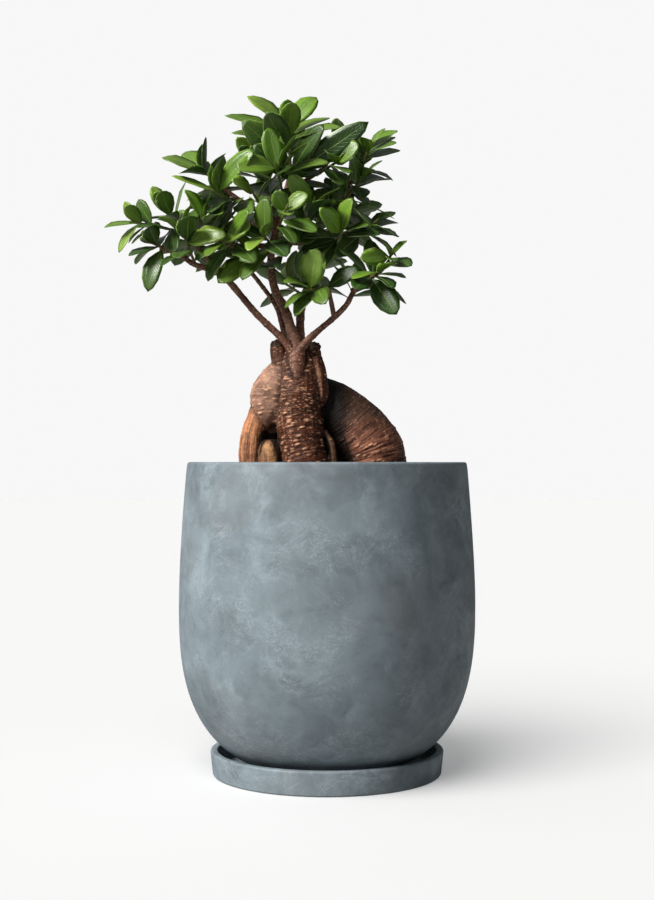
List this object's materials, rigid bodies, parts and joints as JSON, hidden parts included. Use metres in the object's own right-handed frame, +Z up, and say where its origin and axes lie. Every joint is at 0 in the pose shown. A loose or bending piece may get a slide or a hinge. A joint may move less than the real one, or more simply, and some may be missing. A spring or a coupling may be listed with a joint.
{
  "type": "potted bonsai tree",
  "caption": "Small grafted fig tree with a swollen rootstock and glossy leaf sprays, standing in soil in a bellied cement-look pot on a saucer.",
  "frame": {"origin": "centre of the saucer's underside, on the pot's axis", "axes": "+Z up, front of the plant towards -Y, +X to the right seen from the front"},
  "size_m": [0.31, 0.25, 0.5724],
  "materials": {
    "pot_cement": "matt blue-grey cast cement, cloudy trowel marks",
    "saucer_cement": "matt blue-grey cast cement with pale scuffs",
    "net_plastic": "black moulded net",
    "gravel": "rough light pumice",
    "soil": null,
    "root_bark": "red-brown bark with pale lenticels",
    "branch_bark": "brown young bark with ring scars",
    "leaf": null
  },
  "bodies": {
    "root": {"back_left_branch": "branch_bark", "back_low_branch": "branch_bark", "back_right_branch": "branch_bark", "back_stem": "branch_bark", "drain_net": "net_plastic", "drainage_gravel": "gravel", "front_branch": "branch_bark", "leaf_spray_apex": "leaf", "leaf_spray_apex_back": "leaf", "leaf_spray_apex_left": "leaf", "leaf_spray_apex_right": "leaf", "leaf_spray_back_centre": "leaf", "leaf_spray_back_far_left": "leaf", "leaf_spray_back_left": "leaf", "leaf_spray_back_left_high": "leaf", "leaf_spray_back_left_low": "leaf", "leaf_spray_back_low": "leaf", "leaf_spray_back_middle": "leaf", "leaf_spray_back_right": "leaf", "leaf_spray_back_side": "leaf", "leaf_spray_back_under": "leaf", "leaf_spray_centre_left": "leaf", "leaf_spray_centre_right": "leaf", "leaf_spray_centre_top": "leaf", "leaf_spray_far_left": "leaf", "leaf_spray_front_low": "leaf", "leaf_spray_front_shoot": "leaf", "leaf_spray_left_end": "leaf", "leaf_spray_left_high": "leaf", "leaf_spray_left_middle": "leaf", "leaf_spray_left_shoulder": "leaf", "leaf_spray_left_top": "leaf", "leaf_spray_low_middle": "leaf", "leaf_spray_mid_left": "leaf", "leaf_spray_mid_left_end": "leaf", "leaf_spray_right_crown": "leaf", "leaf_spray_right_end": "leaf", "leaf_spray_right_front": "leaf", "leaf_spray_right_high": "leaf", "leaf_spray_right_low": "leaf", "leaf_spray_right_middle": "leaf", "leaf_spray_right_side": "leaf", "leaf_spray_right_top": "leaf", "leaf_spray_right_under": "leaf", "leaf_spray_under_stem": "leaf", "left_branch": "branch_bark", "left_fork": "branch_bark", "main_stem": "branch_bark", "mid_left_branch": "branch_bark", "mid_right_branch": "branch_bark", "pot": "pot_cement", "potting_soil": "soil", "right_branch": "branch_bark", "right_fork": "branch_bark", "rootstock": "root_bark", "saucer": "saucer_cement", "thin_branch": "branch_bark", "upper_left_branch": "branch_bark", "upper_right_branch": "branch_bark"}
  },
  "joints": []
}
